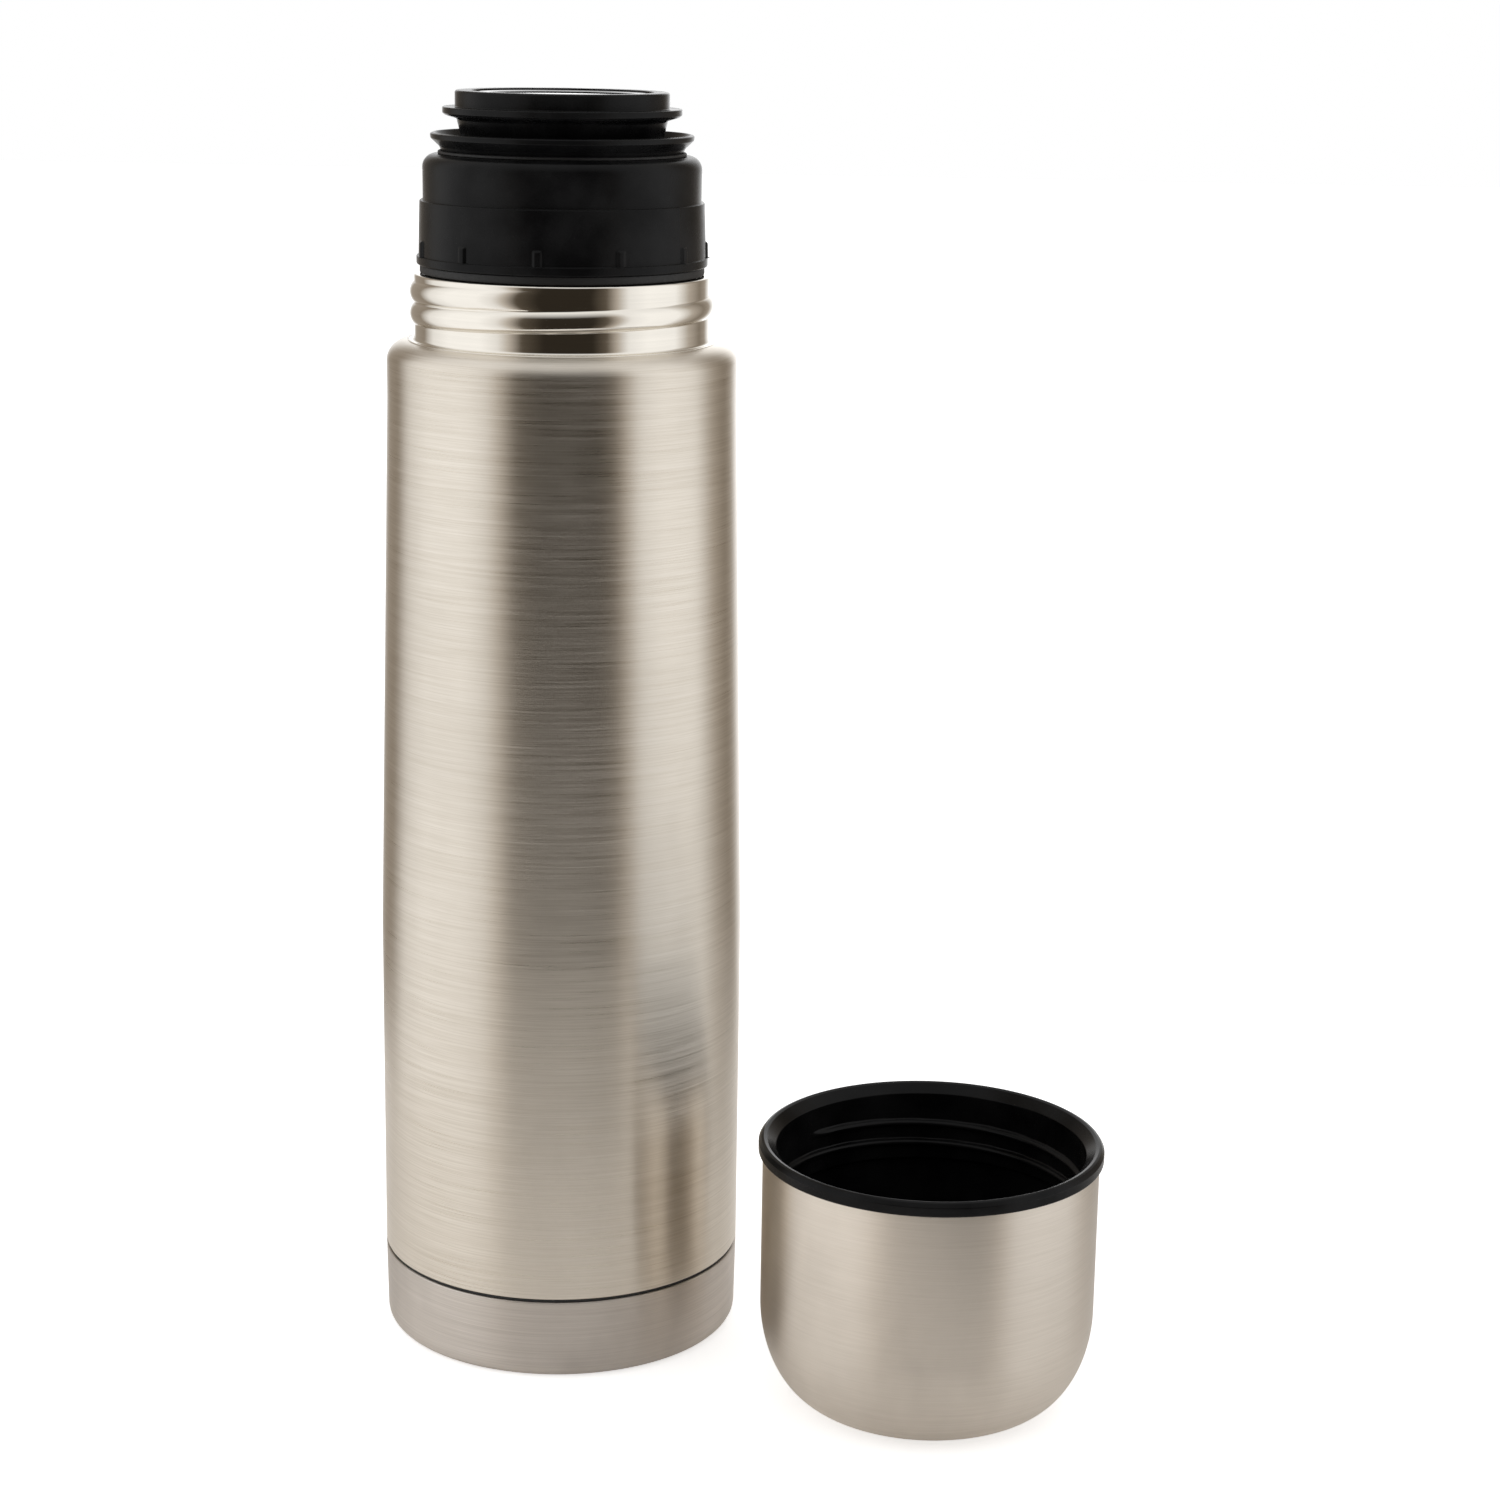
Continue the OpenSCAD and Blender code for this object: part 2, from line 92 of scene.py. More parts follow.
def soften(corners, arc=5):
    """Rounds an outline's corners. A corner is (radius, height, rounding), in millimetres."""
    out = []
    count = len(corners)
    for i, (x, y, rounding) in enumerate(corners):
        here = np.array((x, y), float)
        ends = i in (0, count - 1)
        if ends or rounding <= 0:
            out.append(here)
            continue
        before = np.array(corners[i - 1][:2], float) - here
        after = np.array(corners[i + 1][:2], float) - here
        lb, la = np.linalg.norm(before), np.linalg.norm(after)
        before, after = before / lb, after / la
        half = math.acos(max(-1, min(1, float(before @ after)))) / 2
        if half > STRAIGHT:
            out.append(here)
            continue
        cut = min(rounding / math.tan(half), lb * 0.49, la * 0.49)
        r = cut * math.tan(half)
        middle = (before + after) / np.linalg.norm(before + after) * (r / math.sin(half))
        a0 = here + before * cut - (here + middle)
        a1 = here + after * cut - (here + middle)
        sweep = math.pi - 2 * half
        for k in range(arc + 1):
            t = k / arc
            p = (a0 * math.sin((1 - t) * sweep) + a1 * math.sin(t * sweep)) / math.sin(sweep)
            out.append(here + middle + p)
    return out


def support(path, margin=0.25, longest=6.0):
    """Adds rings close to the ends of each long stretch, so that smooth shading stays at the corners."""
    out = [path[0]]
    for a, b in zip(path, path[1:]):
        length = float(np.linalg.norm(b - a))
        if length > 4 * margin:
            inner = max(1, math.ceil((length - 2 * margin) / longest))
            stops = [margin + (length - 2 * margin) * k / inner for k in range(inner + 1)]
            out += [a + (b - a) * s / length for s in stops]
        out.append(b)
    return out


def ellipse(cx, cy, a, b, start, end, steps=16):
    """Corners along an elliptical arc, from one angle to another in degrees."""
    angles = [math.radians(start + (end - start) * k / steps) for k in range(steps + 1)]
    return [(cx + a * math.cos(t), cy + b * math.sin(t), 0) for t in angles]


def lathe(name, corners, centre=(0, 0), shape=None, closed=True, arc=5, segments=SEGMENTS):
    """A turned shell. shape(angle, r, z) may return a changed (r, z)."""
    path = support([np.array(p) for p in soften(corners, arc)])
    if closed and np.linalg.norm(path[0] - path[-1]) < SAME:
        path = path[:-1]
    rings = len(path)
    angles = np.linspace(0, 2 * math.pi, segments, endpoint=False)
    verts, start, on_axis = [], [], []
    for r, z in path:
        start.append(len(verts))
        pole = r < SAME
        on_axis.append(pole)
        for t in angles[:1] if pole else angles:
            rr, zz = shape(t, r, z) if shape else (r, z)
            verts.append((centre[0] + rr * math.cos(t), centre[1] + rr * math.sin(t), zz))
    faces = []
    last = rings if closed else rings - 1
    for i in range(last):
        j = (i + 1) % rings
        if on_axis[i] and on_axis[j]:
            continue
        for k in range(segments):
            n = (k + 1) % segments
            if on_axis[i]:
                faces.append((start[i], start[j] + n, start[j] + k))
            elif on_axis[j]:
                faces.append((start[i] + k, start[i] + n, start[j]))
            else:
                faces.append((start[i] + k, start[i] + n, start[j] + n, start[j] + k))
    return mesh_object(name, verts, faces)


def mesh_object(name, verts, faces):
    """A smooth-shaded object from points in millimetres."""
    mesh = bpy.data.meshes.new(name)
    mesh.from_pydata([(x * MM, y * MM, z * MM) for x, y, z in verts], [], faces)
    mesh.validate()
    mesh.shade_smooth()
    obj = bpy.data.objects.new(name, mesh)
    bpy.context.scene.collection.objects.link(obj)
    point_outwards(obj)
    return obj


def point_outwards(obj):
    """Turns every face to the outside."""
    bm = bmesh.new()
    bm.from_mesh(obj.data)
    bmesh.ops.recalc_face_normals(bm, faces=bm.faces)
    bm.to_mesh(obj.data)
    bm.free()


def screw_ridge(start, turns, pitch, width, rise, first_angle=0.0, fade=0.18):
    """Height of a rounded helical ridge at an angle and a height on the wall."""

    def height(angle, z):
        best = 0.0
        turn = ((angle - first_angle) / (2 * math.pi)) % 1.0
        while turn <= turns:
            away = abs(z - (start + pitch * turn))
            if away < width / 2:
                swell = max(0.0, min(1.0, turn / fade, (turns - turn) / fade))
                swell = swell * swell * (3 - 2 * swell)
                best = max(best, rise * swell * (1 - (2 * away / width) ** 2) ** 0.8)
            turn += 1.0
        return best

    return height


# ---------------------------------------------------------------- materials


class Nodes:
    """A short way to write a material's nodes."""

    def __init__(self, name):
        self.material = bpy.data.materials.new(name)
        self.material.use_nodes = True
        self.tree = self.material.node_tree
        self.shader = self.tree.nodes["Principled BSDF"]

    def add(self, kind, values=None, **settings):
        node = self.tree.nodes.new(kind)
        for key, value in settings.items():
            setattr(node, key, value)
        for key, value in (values or {}).items():
            self.put(node.inputs[key], value)
        return node

    def put(self, socket, value):
        if isinstance(value, bpy.types.NodeSocket):
            self.tree.links.new(value, socket)
        else:
            socket.default_value = value

    def set(self, **values):
        for key, value in values.items():
            self.put(self.shader.inputs[key.replace("_", " ")], value)

    def place(self, scale=(1, 1, 1), offset=(0, 0, 0)):
        """Object coordinates, scaled. They are in metres."""
        coords = self.add("ShaderNodeTexCoord").outputs["Object"]
        values = {"Vector": coords, "Location": offset, "Scale": scale}
        return self.add("ShaderNodeMapping", values).outputs[0]

    def noise(self, where, scale=1.0, detail=3.0, rough=0.5, distortion=0.0):
        values = {"Vector": where, "Scale": scale, "Detail": detail, "Roughness": rough,
                  "Distortion": distortion}
        return self.add("ShaderNodeTexNoise", values).outputs["Fac"]

    def spread(self, value, low, high, to_low=0.0, to_high=1.0):
        values = {"Value": value, "From Min": low, "From Max": high, "To Min": to_low, "To Max": to_high}
        return self.add("ShaderNodeMapRange", values).outputs[0]

    def mix(self, factor, a, b):
        node = self.add("ShaderNodeMix", data_type="RGBA")
        for key, value in ((0, factor), (6, a), (7, b)):
            self.put(node.inputs[key], value)
        return node.outputs[2]

    def math(self, operation, a, b=0.0):
        node = self.add("ShaderNodeMath", operation=operation)
        self.put(node.inputs[0], a)
        self.put(node.inputs[1], b)
        return node.outputs[0]

    def bump(self, height, strength, distance, under=None):
        values = {"Height": height, "Strength": strength, "Distance": distance}
        if under is not None:
            values["Normal"] = under
        return self.add("ShaderNodeBump", values).outputs[0]


def rgb(r, g, b):
    return (r, g, b, 1.0)


ANISOTROPY = 0.9
QUARTER_TURN = 0.25
MARK_SHADE = 0.62
FINE_SHARE = 0.62


def brushed_steel(name, light, dark, rough=(0.24, 0.4), grain=5200, streak=55, stain=0.0, depth=0.12):
    """Steel brushed round its axis: fine level streaks, a little tonal drift and soft handling marks."""
    n = Nodes(name)
    fine = n.noise(n.place((streak, streak, grain)), detail=4, rough=0.65)
    coarse = n.noise(n.place((streak * 0.5, streak * 0.5, grain * 0.28)), detail=3, rough=0.6)
    strokes = n.math("ADD", n.math("MULTIPLY", fine, FINE_SHARE),
                     n.math("MULTIPLY", coarse, 1 - FINE_SHARE))
    drift = n.noise(n.place((24, 24, 14), (3, 1, 2)), detail=4, rough=0.6)
    tone = n.mix(n.spread(strokes, 0.33, 0.67), dark, light)
    marks = n.spread(drift, 0.46, 0.72, 0.0, stain)
    grey = rgb(*(c * MARK_SHADE for c in dark[:3]))
    n.set(Base_Color=n.mix(marks, tone, grey), Metallic=1.0, Anisotropic=ANISOTROPY,
          Anisotropic_Rotation=QUARTER_TURN)
    base = n.spread(strokes, 0.3, 0.7, *rough)
    n.set(Roughness=n.math("ADD", base, n.spread(drift, 0.35, 0.7, -0.02, 0.05)))
    n.set(Tangent=n.add("ShaderNodeTangent", direction_type="RADIAL", axis="Z").outputs[0])
    n.set(Normal=n.bump(strokes, depth, 0.00006))
    return n.material


def polished_steel(name, tint=(0.82, 0.78, 0.71)):
    """Rolled, buffed steel: mirror-like, with faint turning lines and fine wipe marks."""
    n = Nodes(name)
    lines = n.noise(n.place((18, 18, 1500)), detail=3, rough=0.5)
    waves = n.noise(n.place((60, 60, 240), (1, 5, 2)), detail=2)
    n.set(Base_Color=n.mix(n.spread(lines, 0.3, 0.7), rgb(*(c * 0.94 for c in tint)), rgb(*tint)))
    n.set(Metallic=1.0, Roughness=n.spread(lines, 0.3, 0.7, 0.06, 0.13))
    n.set(Normal=n.bump(waves, 0.10, 0.0002, n.bump(lines, 0.03, 0.00005)))
    return n.material


def drawn_steel(name):
    """Plain drawn steel with faint level lines, for the hidden sheet parts."""
    n = Nodes(name)
    lines = n.noise(n.place((30, 30, 900)), detail=3)
    n.set(Base_Color=n.mix(n.spread(lines, 0.3, 0.7), rgb(0.5, 0.49, 0.47), rgb(0.66, 0.65, 0.62)))
    n.set(Metallic=1.0, Roughness=n.spread(lines, 0.3, 0.7, 0.18, 0.3))
    n.set(Normal=n.bump(lines, 0.06, 0.00005))
    return n.material


def moulded_plastic(name, colour, rough=(0.2, 0.32), coat=0.0, grain=0.05, gloss=0.1):
    """Moulded plastic: a fine mould texture over slightly uneven tone and gloss."""
    n = Nodes(name)
    texture = n.noise(n.place((5200, 5200, 5200)), detail=3, rough=0.6)
    patches = n.noise(n.place((120, 120, 120), (4, 0, 7)), detail=3)
    ripple = n.noise(n.place((60, 60, 260)), detail=2)
    pale = rgb(*(min(1, c * 1.7 + 0.004) for c in colour))
    n.set(Base_Color=n.mix(n.spread(patches, 0.35, 0.75), rgb(*colour), pale))
    n.set(Roughness=n.spread(patches, 0.3, 0.7, *rough), Specular_IOR_Level=gloss,
          Coat_Weight=coat, Coat_Roughness=0.02)
    if grain:
        n.set(Normal=n.bump(texture, grain, 0.00004, n.bump(ripple, 0.04, 0.0004)))
    return n.material


def soft_rubber(name, colour, rough=(0.5, 0.7)):
    """Dull rubber or silicone with a fine, even skin."""
    n = Nodes(name)
    texture = n.noise(n.place((3000, 3000, 3000)), detail=3)
    pale = rgb(*(min(1, c * 1.4 + 0.004) for c in colour))
    n.set(Base_Color=n.mix(texture, rgb(*colour), pale), Roughness=n.spread(texture, 0.3, 0.7, *rough),
          Normal=n.bump(texture, 0.15, 0.00005))
    return n.material


def metal_foil(name, light, dark):
    """Thin metal with soft creases."""
    n = Nodes(name)
    creases = n.noise(n.place((90, 90, 60)), detail=5, rough=0.7, distortion=0.6)
    n.set(Base_Color=n.mix(creases, dark, light), Metallic=1.0,
          Roughness=n.spread(creases, 0.3, 0.7, 0.18, 0.4), Normal=n.bump(creases, 0.4, 0.0006))
    return n.material


STEEL_LIGHT = rgb(0.80, 0.745, 0.665)
STEEL_DARK = rgb(0.6, 0.545, 0.465)
MATERIALS = {
    "body_steel": brushed_steel("body_steel", STEEL_LIGHT, STEEL_DARK, stain=0.12),
    "base_steel": brushed_steel("base_steel", rgb(0.70, 0.65, 0.60), rgb(0.52, 0.475, 0.43),
                                rough=(0.32, 0.46), streak=40, stain=0.45, depth=0.16),
    "cup_steel": brushed_steel("cup_steel", rgb(0.80, 0.735, 0.655), rgb(0.70, 0.635, 0.555),
                               rough=(0.3, 0.42), grain=7000, streak=90, stain=0.35, depth=0.07),
    "polished": polished_steel("polished"),
    "inner_steel": drawn_steel("inner_steel"),
    "bright_steel": polished_steel("bright_steel", (0.72, 0.72, 0.70)),
    "copper_foil": metal_foil("copper_foil", rgb(0.82, 0.5, 0.34), rgb(0.6, 0.33, 0.2)),
    "getter_metal": metal_foil("getter_metal", rgb(0.32, 0.32, 0.33), rgb(0.2, 0.2, 0.21)),
    "solder_glass": moulded_plastic("solder_glass", (0.05, 0.06, 0.07), rough=(0.05, 0.12)),
    "black_plastic": moulded_plastic("black_plastic", (0.0035, 0.0035, 0.0037)),
    "liner_plastic": moulded_plastic("liner_plastic", (0.003, 0.003, 0.0032), rough=(0.16, 0.26)),
    "gloss_disc": moulded_plastic("gloss_disc", (0.014, 0.014, 0.015), rough=(0.02, 0.05), coat=1.0,
                                  grain=0.0, gloss=0.6),
    "black_rubber": soft_rubber("black_rubber", (0.006, 0.006, 0.006)),
    "silicone": soft_rubber("silicone", (0.42, 0.42, 0.4)),
}


def finish_piece(obj, material, body, replaced=()):
    """Gives a piece its material and its body, and hides the CAD nodes that it stands for."""
    obj.data.materials.append(MATERIALS[material])
    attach(obj, body)
    if replaced:
        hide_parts(*replaced)


def top_of(node):
    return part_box(node)[1].z / MM


def foot_of(node):
    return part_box(node)[0].z / MM


def radius_of(node):
    low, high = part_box(node)
    return (high.x - low.x) / 2 / MM


def centre_of(node):
    low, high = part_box(node)
    return ((low.x + high.x) / 2 / MM, (low.y + high.y) / 2 / MM)


# ---------------------------------------------------------------- flask

SHEET = 0.5
BODY_R = radius_of("outer_shell")
TOP_R = BODY_R - 2.2
TAPER_Z, CONE_Z = 82.0, 184.0
RIM_Z = top_of("outer_shell")
NECK_R = BODY_R - 7.4
SHOULDER_Z = RIM_Z - 16.1
SHOULDER_H = 3.8
SEAM_Z = top_of("base_cup") + 0.6
NECK_TURNS = 1.75
NECK_RIDGE_WIDTH = 3.9
NECK_RIDGE = 0.8
NECK_THREAD_START = math.radians(25)


def make_body():
    """The brushed outer wall with its swaged foot, up to the shoulder."""
    skirt = BODY_R - 1.1
    low = foot_of("outer_shell")
    neck_line = SHOULDER_Z + SHOULDER_H
    flat = 0.8
    across = TOP_R - NECK_R - flat
    curve = ellipse(TOP_R - across, SHOULDER_Z, across, SHOULDER_H, 0, 90)
    inner = ellipse(TOP_R - across, SHOULDER_Z, across - SHEET, SHOULDER_H - SHEET, 90, 0)
    corners = [(skirt, low, 0), (skirt, SEAM_Z, 0.1), (BODY_R, SEAM_Z, 0.35), (BODY_R, TAPER_Z, 900),
               (TOP_R, CONE_Z, 200), *curve, (NECK_R + 0.2, neck_line, 0),
               (NECK_R - 0.1, neck_line - 0.1, 0), *inner, (TOP_R - SHEET, CONE_Z, 0),
               (BODY_R - SHEET, TAPER_Z, 0), (BODY_R - SHEET, SEAM_Z + SHEET, 0),
               (skirt - SHEET, SEAM_Z + SHEET, 0), (skirt - SHEET, low, 0), (skirt, low, 0)]
    body = lathe("outer_body", corners)
    finish_piece(body, "body_steel", "flask", replaced=["outer_shell"])


def make_neck():
    """The polished neck, with its rolled thread, the small fillet at its foot and the rolled rim."""
    foot = SHOULDER_Z + SHOULDER_H
    inner = BODY_R - 9.05
    fillet_r = NECK_R + 1.3
    lap = RIM_Z - 1.6
    step = RIM_Z - 1.0
    ridge = screw_ridge(RIM_Z - 9.2, NECK_TURNS, THREAD_PITCH, NECK_RIDGE_WIDTH, NECK_RIDGE,
                        NECK_THREAD_START)

    def rolled(angle, r, z):
        on_wall = r > NECK_R - 0.05 and z < RIM_Z - 0.6
        return (r + ridge(angle, z) if on_wall else r), z

    rows = np.arange(foot + 1.3, RIM_Z - 0.9, 0.14)
    wall = [(NECK_R, z, 0) for z in rows]
    corners = [(fillet_r, foot + 0.03, 0), (NECK_R + 0.02, foot + 0.06, 1.1), *wall,
               (NECK_R, RIM_Z, 0.8), (inner, RIM_Z, 0.3), (inner, lap, 0.1), (inner + SHEET, lap, 0.1),
               (inner + SHEET, step, 0.1), (NECK_R - SHEET, step, 0.2), (NECK_R - SHEET, foot - 0.4, 0),
               (fillet_r, foot - 0.4, 0), (fillet_r, foot + 0.03, 0)]
    neck = lathe("neck", corners, shape=rolled)
    finish_piece(neck, "polished", "flask", replaced=["outer_shell"])


def make_base():
    """The brushed base cup and the black line above it."""
    top = top_of("base_cup")
    foot_r = BODY_R - 0.3
    edge = 2.2
    groove = 0.35
    corners = [(0, 0, 0), (24, 0, 0.2), (24.6, groove, 0.2), (26.4, groove, 0.2), (27, 0, 0.2),
               (foot_r, 0, edge), (BODY_R, top, 0.25), (BODY_R - SHEET, top, 0.1),
               (foot_r - SHEET, SHEET, edge - SHEET), (0, SHEET, 0)]
    base = lathe("base_shell", corners, closed=False)
    finish_piece(base, "base_steel", "flask", replaced=["base_cup"])
    low = foot_of("base_seam_ring")
    back, front = BODY_R - 1.05, BODY_R - 0.35
    ring = [(back, low, 0), (BODY_R - 0.7, low, 0), (BODY_R - 0.65, top + 0.05, 0),
            (front, top + 0.05, 0.1), (front, SEAM_Z - 0.05, 0.1), (back, SEAM_Z - 0.05, 0), (back, low, 0)]
    seam = lathe("seam_line", ring)
    finish_piece(seam, "black_rubber", "flask", replaced=["base_seam_ring"])


# ---------------------------------------------------------------- stopper

RIBS = 11
RIB_TURN = math.radians(5)
RIB_RISE = 0.42
MOULD_LINE = math.radians(-30.5)
MOULD_LINE_RISE = 0.07
MOULD_LINE_SPREAD = 0.00008
HOUSING_SEGMENTS = 720


def make_housing():
    """The ribbed skirt: flange, grip ribs, the step between its two walls and its rounded top."""
    low = foot_of("stopper_housing")
    top = top_of("stopper_housing")
    flange_r = radius_of("stopper_housing")
    flange_top = low + 1.6
    lower, upper = flange_r - 0.4, flange_r - 1.25
    ledge = top - 8.4
    rib_top = flange_top + 2.9
    rib_half = 0.7 / lower
    spacing = 2 * math.pi / RIBS

    def ribbed(angle, r, z):
        if r < lower - 0.5 or z < flange_top - 0.1 or z > ledge:
            return r, z
        away = (angle - MOULD_LINE + math.pi) % (2 * math.pi) - math.pi
        r += MOULD_LINE_RISE * math.exp(-away ** 2 / MOULD_LINE_SPREAD)
        if z > rib_top + 0.05:
            return r, z
        nearest = round((angle - RIB_TURN) / spacing) * spacing + RIB_TURN
        side = min(1.0, max(0.0, (rib_half * 1.2 - abs(angle - nearest)) / (rib_half * 0.4)))
        up = min(1.0, max(0.0, (rib_top - z) / 0.35))
        smooth = side * side * (3 - 2 * side)
        return r + RIB_RISE * smooth * math.sqrt(up), z

    heights = np.arange(flange_top + 0.3, rib_top + 0.3, 0.12)
    rows = [(lower - 0.02 * (z - flange_top), z, 0) for z in heights]
    inner_r = flange_r - 1.9
    corners = [(inner_r, low, 0), (flange_r, low, 0.3), (flange_r, flange_top, 0.35),
               (lower, flange_top, 0.15), *rows, (lower - 0.25, ledge, 0.25), (upper, ledge, 0.12),
               (upper, top, 3.0), (20.9, top, 0.3), (20.9, top - 1.6, 0.1), (upper - 2.8, top - 1.6, 0.2),
               (upper - 1.6, top - 3.2, 0.2), (upper - 1.6, flange_top + 1, 0), (inner_r, flange_top + 1, 0),
               (inner_r, low, 0)]
    housing = lathe("housing", corners, shape=ribbed, arc=9, segments=HOUSING_SEGMENTS)
    finish_piece(housing, "black_plastic", "stopper", replaced=["stopper_housing"])


def make_rings():
    """The black ring under the flange, the flared pour lip and the ridge ring under it."""
    low, top = foot_of("rim_seal"), top_of("rim_seal")
    seal = [(24.4, low, 0), (26.5, low, 0.3), (26.5, top, 0.2), (24.4, top, 0), (24.4, low, 0)]
    finish_piece(lathe("under_ring", seal), "black_rubber", "stopper", replaced=["rim_seal"])
    root = top_of("stopper_housing") + 0.05
    lip_r = radius_of("pour_lip")
    lip = [(19.8, root - 3.4, 0), (20.85, root - 3.4, 0), (20.85, root, 0), (22.2, root, 0.1),
           (22.7, root + 1.3, 0.6),
           (lip_r - 0.1, root + 2.8, 0.4), (lip_r, root + 3.6, 0.3), (lip_r - 0.7, root + 3.9, 0.3),
           (22.5, root + 2.3, 1.2), (21.5, root + 1.5, 0.6), (19.8, root + 0.9, 0.4), (19.8, root - 3.4, 0)]
    finish_piece(lathe("lip", lip, arc=8), "black_plastic", "stopper", replaced=["pour_lip"])
    low, top = foot_of("lip_ring"), top_of("lip_ring")
    ring = [(22.3, low, 0), (23.0, low, 0.1), (23.0, low + 0.45, 0.2), (22.5, top, 0.15), (22.3, low, 0)]
    finish_piece(lathe("ridge_ring", ring), "black_rubber", "stopper", replaced=["lip_ring"])


def make_button():
    """The push button: skirt, cone, thin grip flange and disc with its recess, and the glossy insert."""
    top, low = top_of("push_button"), foot_of("push_button")
    grip_r = radius_of("push_button")
    disc_r = grip_r - 2.3
    recess = 16.7
    floor, under = top - 0.9, top - 2.5
    skirt, skirt_inner = 17.6, 16
    corners = [(0, floor, 0), (recess, floor, 0.1), (recess + 0.1, top, 0.25), (disc_r, top, 0.5),
               (disc_r, top - 3, 0.2), (grip_r, top - 3, 0.22), (grip_r, top - 4.1, 0.3),
               (grip_r - 0.5, top - 4.5, 0.4), (19.5, top - 5.1, 0.5), (18.3, top - 10, 1.0),
               (skirt, top - 11.5, 0.5), (skirt, low, 0.3), (skirt_inner, low, 0.2),
               (skirt_inner, under, 0.3), (0, under, 0)]
    button = lathe("button", corners, closed=False, arc=8)
    finish_piece(button, "black_plastic", "button", replaced=["push_button"])
    low, top = foot_of("button_insert"), top_of("button_insert")
    insert = [(0, low, 0), (recess - 0.05, low, 0), (recess - 0.05, top, 0.2), (15.9, top, 0.1),
              (15.6, top - 0.12, 0.1), (0, top - 0.12, 0)]
    disc = lathe("insert_disc", insert, closed=False)
    finish_piece(disc, "gloss_disc", "button", replaced=["button_insert"])


# ---------------------------------------------------------------- cup

DOME_A, DOME_B = 11.8, 18.6
CUP_TURNS = 1.4
CUP_RIDGE_WIDTH = 1.5
CUP_RIDGE = 1.0


def make_cup():
    """The steel cup and its black lining, with the rim band and the thread."""
    centre = centre_of("cup_shell")
    wall_r = radius_of("cup_shell")
    rim = top_of("cup_liner")
    seat = top_of("cup_shell")
    middle = (wall_r - DOME_A, DOME_B)
    shell = [(0, 0, 0), *ellipse(*middle, DOME_A, DOME_B, -90, 0, 32), (wall_r, seat, 0.1),
             (wall_r - SHEET, seat, 0.1), *ellipse(*middle, DOME_A - SHEET, DOME_B - SHEET, 0, -90, 24),
             (0, SHEET, 0)]
    steel = lathe("cup_steel_shell", shell, centre, closed=False)
    finish_piece(steel, "cup_steel", "cup", replaced=["cup_shell"])

    band_r = radius_of("cup_liner")
    mouth = 28.9
    thick = 1.7
    zone = rim - 15
    band_low = rim - 2.7
    ridge = screw_ridge(rim - 12.8, CUP_TURNS, THREAD_PITCH, CUP_RIDGE_WIDTH, CUP_RIDGE, fade=0.03)

    def threaded(angle, r, z):
        on_wall = abs(r - mouth) < 0.02 and zone < z < rim - 2
        return (r - ridge(angle, z) if on_wall else r), z

    rows = [(mouth, z, 0) for z in np.arange(rim - 2.4, rim - 14.4, -0.16)]
    gap = SHEET + 0.1
    lining = [(0, gap, 0), *ellipse(*middle, DOME_A - gap, DOME_B - gap, -90, 0, 20),
              (wall_r - gap, band_low, 0), (band_r, band_low, 0.35), (band_r, rim - 0.9, 0.3),
              (band_r - 0.5, rim - 0.2, 0.2), (band_r - 1, rim, 0.2), (band_r - 1.6, rim - 0.2, 0.15),
              (mouth, rim - 1.8, 0.3), *rows, (mouth, zone, 0.1), (wall_r - thick, zone - 0.8, 0.2),
              *ellipse(*middle, DOME_A - thick, DOME_B - thick, 0, -90, 24), (0, thick, 0)]
    liner = lathe("cup_lining", lining, centre, shape=threaded, closed=False)
    finish_piece(liner, "liner_plastic", "cup", replaced=["cup_liner"])


# ---------------------------------------------------------------- carried-over nodes, stage and light


def dress_hidden_nodes():
    """Gives every CAD node that stays its slot's material."""
    for entry in frame["record"]["subparts"]:
        node = frame["nodes"][entry["node"]]
        node.data.materials.clear()
        node.data.materials.append(MATERIALS[entry["material_slot"]])


FLOOR_HALF = 4000
FLOOR_GLOW = 0.6
SHEET_R = 220
SHEET_X = 20
SHEET_LIFT = 0.02
SHEET_SIDES = 96
# The gloss-only sheet is a painted reflection: it glows less than the wide floor, and painted shade darkens
# it towards +X to the level below.
SHEET_GLOW = 0.2
SHADE_FROM, SHADE_TO = 0.03, 0.16
PAINTED_SHADE_LEVEL = 0.55


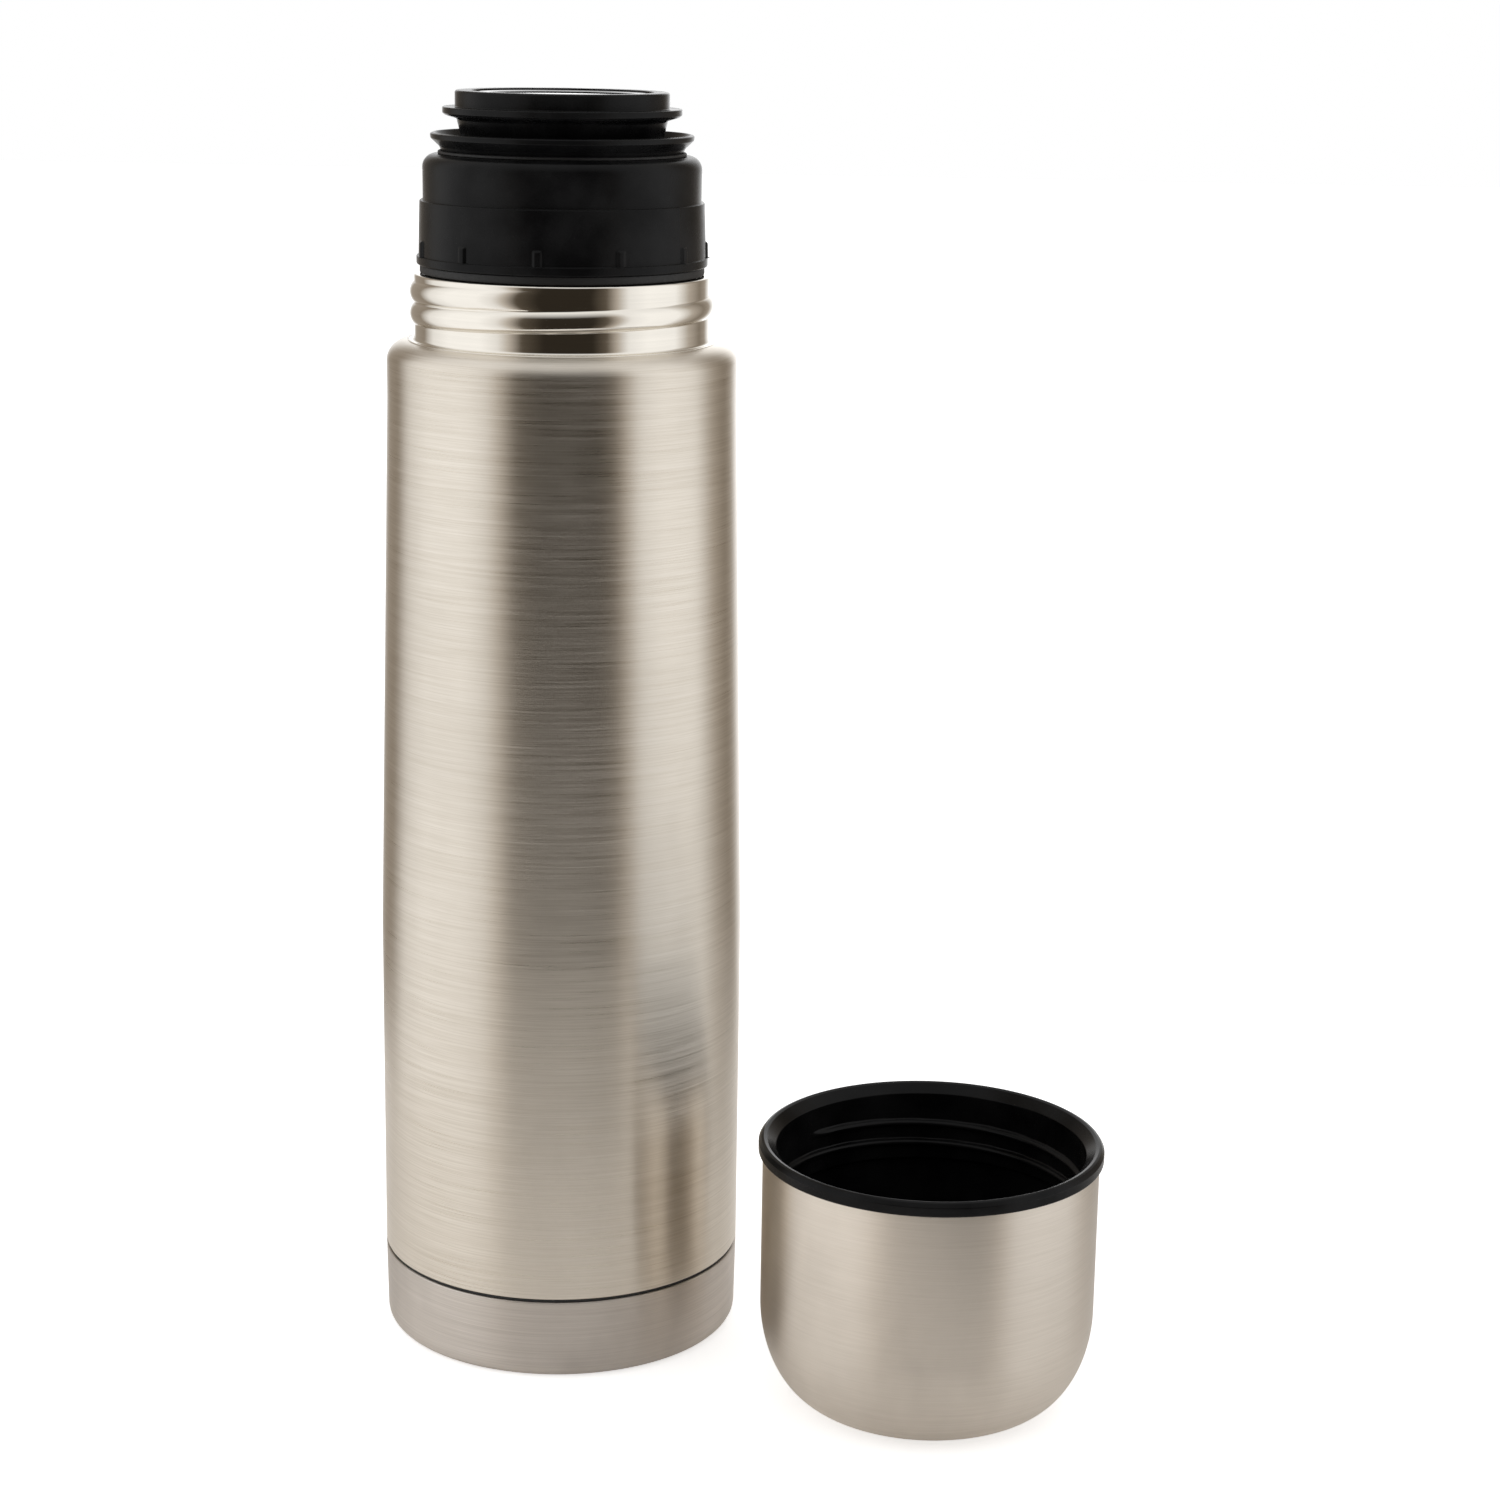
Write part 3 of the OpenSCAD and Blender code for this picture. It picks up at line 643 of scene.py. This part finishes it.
def make_floor():
    """A pale paper floor that glows evenly. Gloss picks up only a small sheet of it round the object, and dim
    studio beyond; that sheet is a painted reflection, glowing less than the floor and painted darker towards
    +X as painted shade.
    """
    signs = [(-1, -1), (1, -1), (1, 1), (-1, 1)]
    wide = mesh_object("floor", [(x * FLOOR_HALF, y * FLOOR_HALF, 0) for x, y in signs], [(0, 1, 2, 3)])
    wide.visible_glossy = False
    turns = [2 * math.pi * k / SHEET_SIDES for k in range(SHEET_SIDES)]
    edge = [(SHEET_X + SHEET_R * math.cos(t), SHEET_R * math.sin(t), SHEET_LIFT) for t in turns]
    # Painted reflection: a glowing sheet that only gloss rays see.
    near = mesh_object("floor_sheet", edge, [tuple(range(SHEET_SIDES))])
    near.visible_camera = near.visible_diffuse = near.visible_transmission = near.visible_shadow = False
    white, cream = rgb(0.9, 0.9, 0.9), rgb(0.9, 0.84, 0.77)
    sheets = ((wide, FLOOR_GLOW, 1.0, white), (near, SHEET_GLOW, PAINTED_SHADE_LEVEL, cream))
    for floor, glow, painted_far_level, tint in sheets:
        n = Nodes(floor.name + "_paper")
        fibre = n.noise(n.place((300, 300, 300)), detail=4)
        side = n.add("ShaderNodeSeparateXYZ", {0: n.place()}).outputs["X"]
        # Painted shade: darkens the gloss-only sheet towards +X, for the dim reflection on the cup's side; on
        # the wide floor it stays at full brightness.
        painted_shade = n.spread(side, SHADE_FROM, SHADE_TO, 1.0, painted_far_level)
        paper = n.mix(fibre, rgb(0.86, 0.86, 0.86), tint)
        n.set(Base_Color=n.mix(painted_shade, rgb(0, 0, 0), paper), Roughness=0.9)
        n.set(Emission_Color=rgb(1, 1, 1), Emission_Strength=glow)
        floor.data.materials.append(n.material)


# Brightness round the horizon: degrees from straight behind the camera, then the level
LIGHT_ROUND = [(-180, 1.8), (-166, 1.2), (-152, 0.38), (-128, 0.3), (-113, 0.95), (-92, 1.15),
               (-60, 1.15), (-45, 0.95), (-36, 0.6), (-25, 0.1), (-8, 0.03), (30, 0.03), (41, 0.12),
               (49, 0.5), (59, 1.0), (76, 1.15), (104, 1.1), (122, 0.5), (140, 0.25), (152, 0.38),
               (166, 1.2), (180, 1.8)]
OVERHEAD_FROM, OVERHEAD_TO = 0.45, 0.95
LESS_GREEN, LESS_BLUE = 0.2, 0.42


def studio_world():
    """Soft studio light: bright at both sides, dim behind the camera, bright beyond the object."""
    world = bpy.data.worlds.new("studio")
    bpy.context.scene.world = world
    world.use_nodes = True
    tree = world.node_tree
    tree.nodes.clear()

    def add(kind, **settings):
        node = tree.nodes.new(kind)
        for key, value in settings.items():
            setattr(node, key, value)
        return node

    coords = add("ShaderNodeTexCoord")
    split = add("ShaderNodeSeparateXYZ")
    tree.links.new(coords.outputs["Generated"], split.inputs[0])
    ahead = add("ShaderNodeMath", operation="MULTIPLY")
    ahead.inputs[1].default_value = -1
    tree.links.new(split.outputs["Y"], ahead.inputs[0])
    angle = add("ShaderNodeMath", operation="ARCTAN2")
    tree.links.new(split.outputs["X"], angle.inputs[0])
    tree.links.new(ahead.outputs[0], angle.inputs[1])
    place = add("ShaderNodeMapRange")
    place.inputs["From Min"].default_value = -math.pi
    place.inputs["From Max"].default_value = math.pi
    tree.links.new(angle.outputs[0], place.inputs["Value"])
    ramp = add("ShaderNodeValToRGB")
    tree.links.new(place.outputs[0], ramp.inputs[0])
    ramp.color_ramp.interpolation = "LINEAR"
    elements = ramp.color_ramp.elements
    while len(elements) < len(LIGHT_ROUND):
        elements.new(0.5)
    for element, (degrees, level) in zip(elements, LIGHT_ROUND):
        element.position = (degrees + 180) / 360
    for element, (degrees, level) in zip(elements, LIGHT_ROUND):
        warm = 1 - min(1, level)
        element.color = rgb(level, level * (1 - LESS_GREEN * warm), level * (1 - LESS_BLUE * warm))
    overhead = add("ShaderNodeMapRange")
    overhead.inputs["From Min"].default_value = OVERHEAD_FROM
    overhead.inputs["From Max"].default_value = OVERHEAD_TO
    tree.links.new(split.outputs["Z"], overhead.inputs["Value"])
    blend = add("ShaderNodeMix", data_type="RGBA")
    tree.links.new(overhead.outputs[0], blend.inputs[0])
    tree.links.new(ramp.outputs[0], blend.inputs[6])
    blend.inputs[7].default_value = rgb(1, 1, 1)
    light = add("ShaderNodeBackground")
    tree.links.new(blend.outputs[2], light.inputs["Color"])
    light.inputs["Strength"].default_value = 1.0
    backdrop = add("ShaderNodeBackground")
    backdrop.inputs["Color"].default_value = rgb(1, 1, 1)
    path = add("ShaderNodeLightPath")
    choose = add("ShaderNodeMixShader")
    tree.links.new(path.outputs["Is Camera Ray"], choose.inputs[0])
    tree.links.new(light.outputs[0], choose.inputs[1])
    tree.links.new(backdrop.outputs[0], choose.inputs[2])
    out = add("ShaderNodeOutputWorld")
    tree.links.new(choose.outputs[0], out.inputs[0])


make_body()
make_neck()
make_base()
make_housing()
make_rings()
make_button()
make_cup()
dress_hidden_nodes()
make_floor()
studio_world()
bpy.context.scene.view_settings.view_transform = "Standard"
